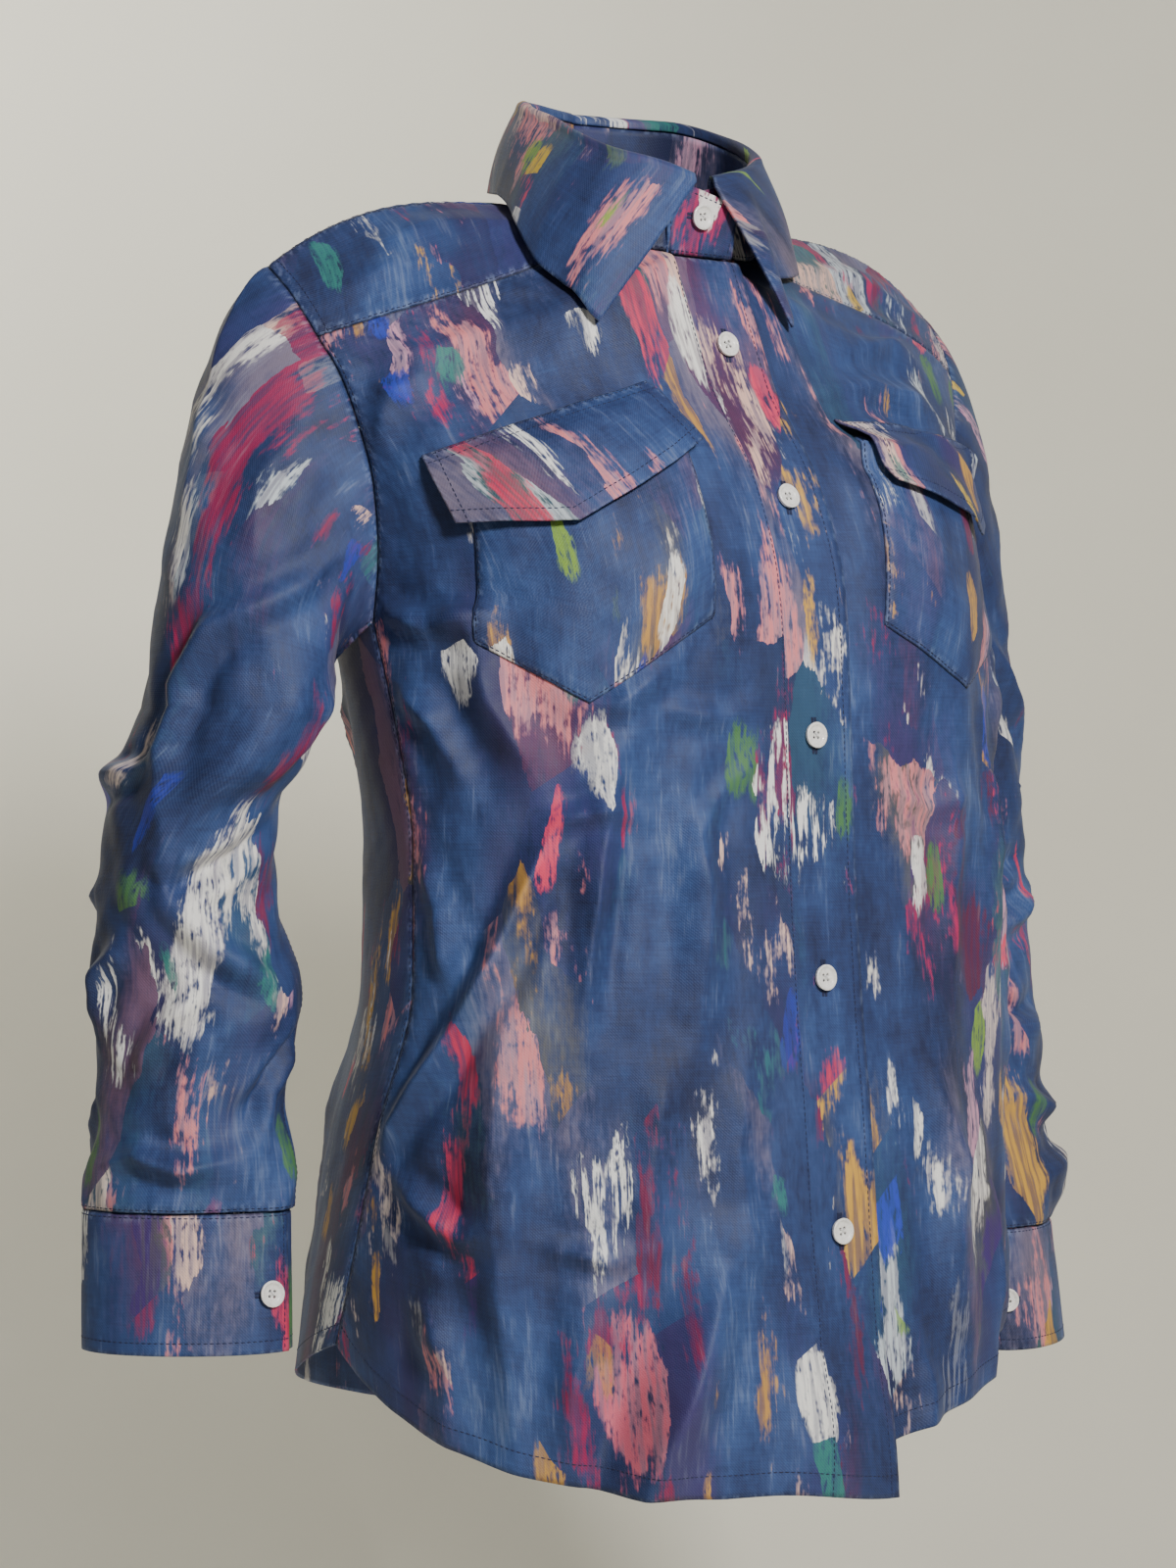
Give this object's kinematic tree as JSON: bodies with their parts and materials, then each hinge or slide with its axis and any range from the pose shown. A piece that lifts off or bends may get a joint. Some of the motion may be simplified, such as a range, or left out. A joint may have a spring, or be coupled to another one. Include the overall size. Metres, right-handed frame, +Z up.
{
  "type": "denim shirt",
  "caption": "Long-sleeved denim shirt with a pointed collar, yokes, two flapped chest pockets and a curved hem, filled out as when it is worn, with nothing in it.",
  "frame": {"origin": "middle of the neck, level with the points where the shoulder seams meet the neckline", "axes": "+X to the wearer's left, -Y to the front and +Z up"},
  "size_m": [0.6024, 0.3155, 0.708],
  "materials": {
    "denim": "matt mottled blue denim with paint-like streaks",
    "button": "pearly white, polished"
  },
  "bodies": {
    "root": {"front_right": "denim", "front_left": "denim", "front_yoke_right": "denim", "front_yoke_left": "denim", "back": "denim", "back_yoke": "denim", "sleeve_right": "denim", "sleeve_left": "denim", "cuff_right": "denim", "cuff_left": "denim", "collar_stand": "denim", "collar": "denim", "pocket_right": "denim", "pocket_left": "denim", "flap_right": "denim", "flap_left": "denim", "button_1": "button", "button_2": "button", "button_3": "button", "button_4": "button", "button_5": "button", "button_stand": "button", "button_cuff_right": "button", "button_cuff_left": "button"}
  },
  "joints": []
}
